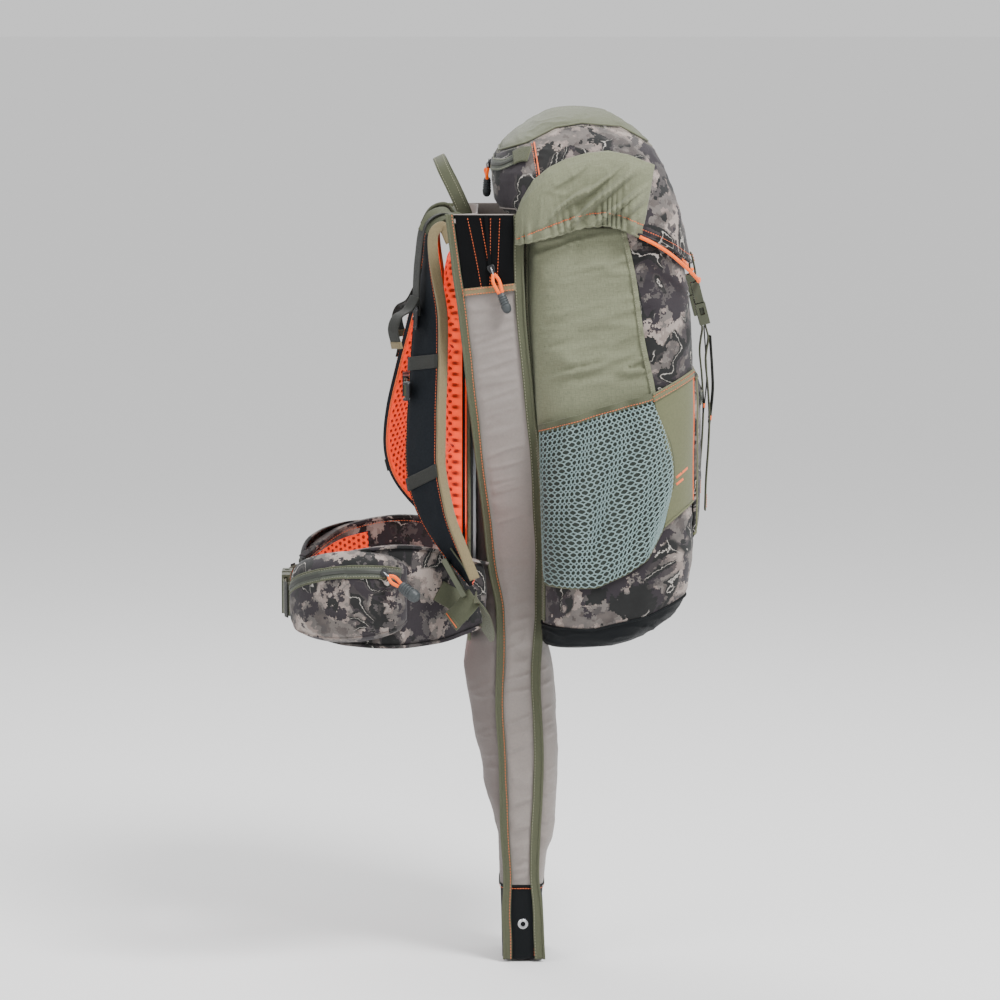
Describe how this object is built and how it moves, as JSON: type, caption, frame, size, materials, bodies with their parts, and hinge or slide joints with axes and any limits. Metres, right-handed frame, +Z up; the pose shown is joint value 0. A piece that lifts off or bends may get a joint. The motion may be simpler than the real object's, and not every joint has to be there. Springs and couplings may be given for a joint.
{
  "type": "hunting backpack",
  "caption": "Top-lid hunting backpack with a long-gun sleeve down its back, padded harness, hip belt with zipped pockets, stretch side pockets and a hanging sleeve tail.",
  "frame": {"origin": "middle of the lumbar pad's flat face, where the pack rests on the wearer", "axes": "+Z up, +Y the way the wearer faces, +X the wearer's right; the bag's front faces -Y"},
  "size_m": [0.4068, 0.5025, 1.002],
  "materials": {
    "camo_fabric": "brushed polyester with a printed camouflage of taupe, grey, dark brown and black patches",
    "olive_ripstop": "woven ripstop, matt",
    "taupe_fabric": "plain brushed polyester, matt",
    "harness_fabric": "dense black pack cloth",
    "air_mesh": "orange honeycomb spacer mesh over foam",
    "strap_foam": "foam strap in dark cloth with an orange mesh back and tan binding",
    "coated_base": "coated hard-wearing black cloth, low sheen",
    "stretch_mesh": "blue-grey diamond stretch mesh",
    "webbing": "woven olive webbing",
    "buckle_plastic": "olive acetal, fine grain",
    "dark_plastic": "dark grey acetal and rubber",
    "frame_plastic": "black polyethylene sheet",
    "stay_alloy": "bare aluminium bar",
    "elastic_cord": "orange elastic cord",
    "eyelet_steel": "nickel-plated steel"
  },
  "bodies": {
    "pack": {"harness_panel": "harness_fabric", "framesheet": "frame_plastic", "stay_left": "stay_alloy", "stay_right": "stay_alloy", "back_pad_left": "air_mesh", "back_pad_right": "air_mesh", "lumbar_pad": "air_mesh", "lower_webbing_left": "webbing", "lower_webbing_right": "webbing", "bag_base": "coated_base", "bag_back_panel": "camo_fabric", "bag_front_panel": "camo_fabric", "bag_side_left": "olive_ripstop", "bag_side_right": "olive_ripstop", "drawcord_collar": "taupe_fabric", "front_pocket": "olive_ripstop", "side_pocket_left": "stretch_mesh", "side_pocket_right": "stretch_mesh", "front_webbing_left": "webbing", "front_webbing_right": "webbing", "sleeve_upper": "taupe_fabric"},
    "lid": {"lid_shell": "camo_fabric", "lid_gusset_left": "olive_ripstop", "lid_gusset_right": "olive_ripstop", "lid_strap_left": "webbing", "lid_strap_right": "webbing", "lid_buckle_male_left": "buckle_plastic", "lid_buckle_male_right": "buckle_plastic", "shock_cord_left": "elastic_cord", "shock_cord_right": "elastic_cord"},
    "lid_zip": {"lid_zip_pull": "dark_plastic"},
    "lid_buckle_left": {"lid_buckle_female_left": "buckle_plastic"},
    "lid_buckle_right": {"lid_buckle_female_right": "buckle_plastic"},
    "shoulder_left": {"shoulder_strap_left": "strap_foam", "load_lifter_left": "webbing", "ladder_lock_left": "buckle_plastic"},
    "shoulder_right": {"shoulder_strap_right": "strap_foam", "load_lifter_right": "webbing", "ladder_lock_right": "buckle_plastic"},
    "sternum_left": {"sternum_strap_left": "webbing"},
    "sternum_right": {"sternum_strap_right": "webbing", "sternum_buckle_female": "buckle_plastic"},
    "sternum_male": {"sternum_buckle_male": "buckle_plastic"},
    "hip_left": {"hip_fin_left": "camo_fabric", "hip_pocket_left": "camo_fabric", "belt_webbing_left": "webbing"},
    "hip_right": {"hip_fin_right": "camo_fabric", "hip_pocket_right": "camo_fabric", "belt_webbing_right": "webbing", "belt_buckle_female": "dark_plastic"},
    "belt_male": {"belt_buckle_male": "dark_plastic"},
    "hip_zip_left": {"hip_zip_pull_left": "dark_plastic"},
    "hip_zip_right": {"hip_zip_pull_right": "dark_plastic"},
    "haul_loop": {"haul_loop": "webbing"},
    "sleeve_tail": {"sleeve_drop": "taupe_fabric", "sleeve_end_cap": "coated_base", "sleeve_eyelet": "eyelet_steel"},
    "sleeve_zip": {"sleeve_zip_pull": "dark_plastic"},
    "cord_lock": {"cord_lock": "dark_plastic"}
  },
  "joints": [
    {"name": "lid_hinge", "type": "hinge", "parent": "pack", "child": "lid", "pos_m": [0, -0.06, 0.4465], "axis": [-1, 0, 0], "range_deg": [0, 50]},
    {"name": "lid_zip_slide", "type": "slide", "parent": "lid", "child": "lid_zip", "axis": [1, 0, 0], "range_m": [-0.12, 0.03]},
    {"name": "lid_buckle_left_slide", "type": "slide", "parent": "pack", "child": "lid_buckle_left", "axis": [0, -0.2516, -0.9678], "range_m": [0, 0.015]},
    {"name": "lid_buckle_right_slide", "type": "slide", "parent": "pack", "child": "lid_buckle_right", "axis": [0, -0.2516, -0.9678], "range_m": [0, 0.015]},
    {"name": "shoulder_left_swing", "type": "hinge", "parent": "pack", "child": "shoulder_left", "pos_m": [-0.068, -0.009, 0.42], "axis": [0, 1, 0], "range_deg": [0, 15]},
    {"name": "shoulder_right_swing", "type": "hinge", "parent": "pack", "child": "shoulder_right", "pos_m": [0.068, -0.009, 0.42], "axis": [0, 1, 0], "range_deg": [-15, 0]},
    {"name": "sternum_left_slide", "type": "slide", "parent": "shoulder_left", "child": "sternum_left", "axis": [0, 0, 1], "range_m": [-0.035, 0.035]},
    {"name": "sternum_right_slide", "type": "slide", "parent": "shoulder_right", "child": "sternum_right", "axis": [0, 0, 1], "range_m": [-0.035, 0.035]},
    {"name": "sternum_buckle_slide", "type": "slide", "parent": "sternum_left", "child": "sternum_male", "axis": [-1, 0, 0], "range_m": [0, 0.016]},
    {"name": "hip_left_fold", "type": "hinge", "parent": "pack", "child": "hip_left", "pos_m": [-0.1415, 0.0062, 0], "axis": [0, 0, 1], "range_deg": [0, 24]},
    {"name": "hip_right_fold", "type": "hinge", "parent": "pack", "child": "hip_right", "pos_m": [0.1415, 0.0062, 0], "axis": [0, 0, 1], "range_deg": [-24, 0]},
    {"name": "belt_buckle_slide", "type": "slide", "parent": "hip_left", "child": "belt_male", "axis": [-1, 0, 0], "range_m": [0, 0.018]},
    {"name": "hip_zip_left_slide", "type": "slide", "parent": "hip_left", "child": "hip_zip_left", "axis": [0, 1, 0], "range_m": [0, 0.035]},
    {"name": "hip_zip_right_slide", "type": "slide", "parent": "hip_right", "child": "hip_zip_right", "axis": [0, 1, 0], "range_m": [0, 0.035]},
    {"name": "haul_loop_fold", "type": "hinge", "parent": "pack", "child": "haul_loop", "pos_m": [0, -0.028, 0.431], "axis": [-1, 0, 0], "range_deg": [-20, 60]},
    {"name": "sleeve_tail_swing", "type": "hinge", "parent": "pack", "child": "sleeve_tail", "pos_m": [0, -0.088, -0.0615], "axis": [-1, 0, 0], "range_deg": [-10, 20]},
    {"name": "sleeve_zip_slide", "type": "slide", "parent": "pack", "child": "sleeve_zip", "axis": [-0.0698, 0, 0.9976], "range_m": [0, 0.048]},
    {"name": "cord_lock_slide", "type": "slide", "parent": "pack", "child": "cord_lock", "axis": [0, 1, 0], "range_m": [0, 0.03]}
  ],
  "couplings": [
    {"joint": "shoulder_right_swing", "follows": "shoulder_left_swing", "ratio": -1},
    {"joint": "sternum_right_slide", "follows": "sternum_left_slide", "ratio": 1},
    {"joint": "hip_right_fold", "follows": "hip_left_fold", "ratio": -1}
  ]
}
